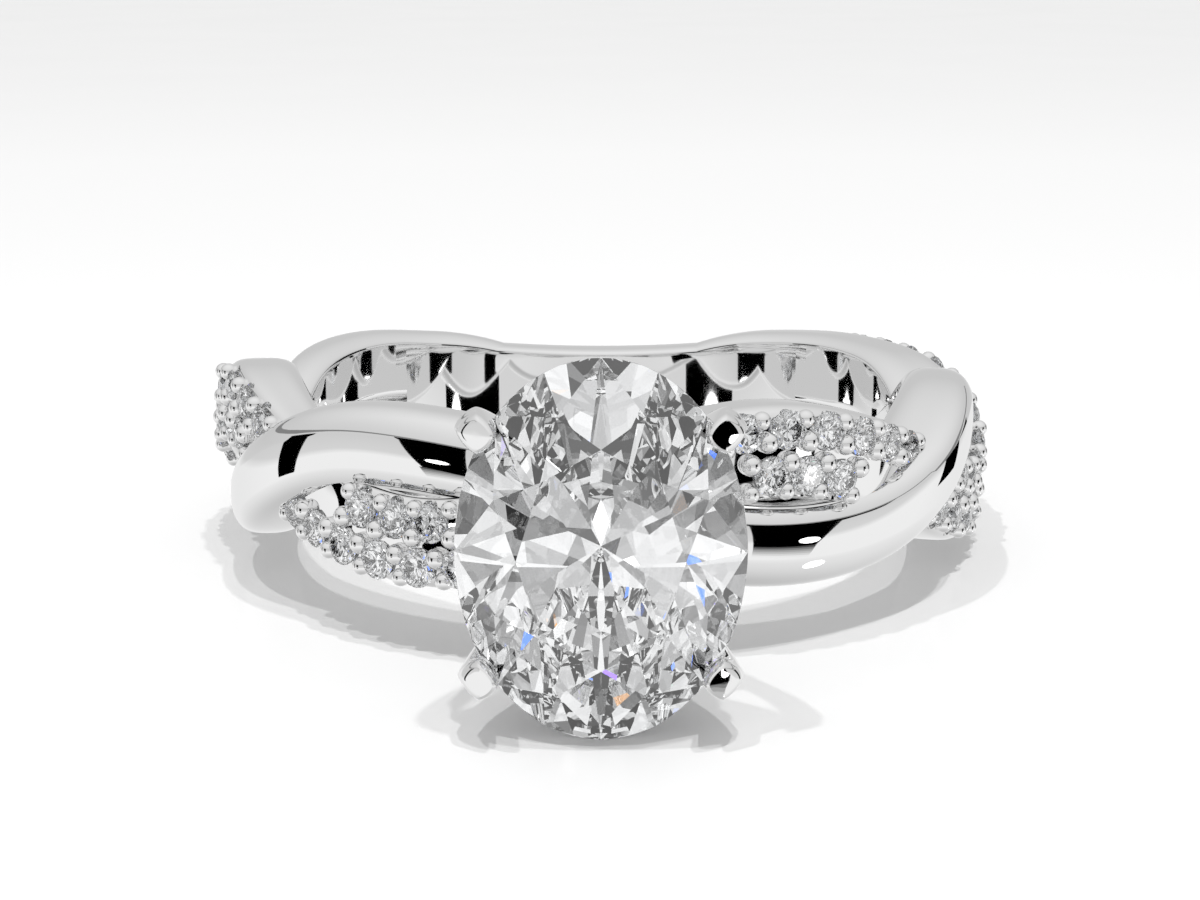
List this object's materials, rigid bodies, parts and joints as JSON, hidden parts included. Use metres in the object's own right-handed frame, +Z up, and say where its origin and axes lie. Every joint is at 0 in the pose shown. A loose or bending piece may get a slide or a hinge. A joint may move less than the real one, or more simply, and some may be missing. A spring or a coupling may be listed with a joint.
{
  "type": "crossover engagement ring",
  "caption": "Twist-band ring for one finger: a plain and a stone-set strand cross round the hole, and four claws hold a large oval faceted stone above it.",
  "frame": {"origin": "middle of the floor under the ring's box, as it lies at rest", "axes": "+Z up from the table, the centre stone faces -Y, and +X is to the right of a viewer who faces the stone"},
  "size_m": [0.0224, 0.0262, 0.0086],
  "materials": {
    "white_gold": "mirror polished white gold",
    "clear_stone": "polished facets, colourless",
    "accent_stone": "polished facets, colourless"
  },
  "bodies": {
    "root": {"ring_mount": "white_gold", "centre_stone": "clear_stone", "accent_stones_left": "accent_stone", "accent_stones_right": "accent_stone", "inner_stone": "accent_stone"}
  },
  "joints": []
}
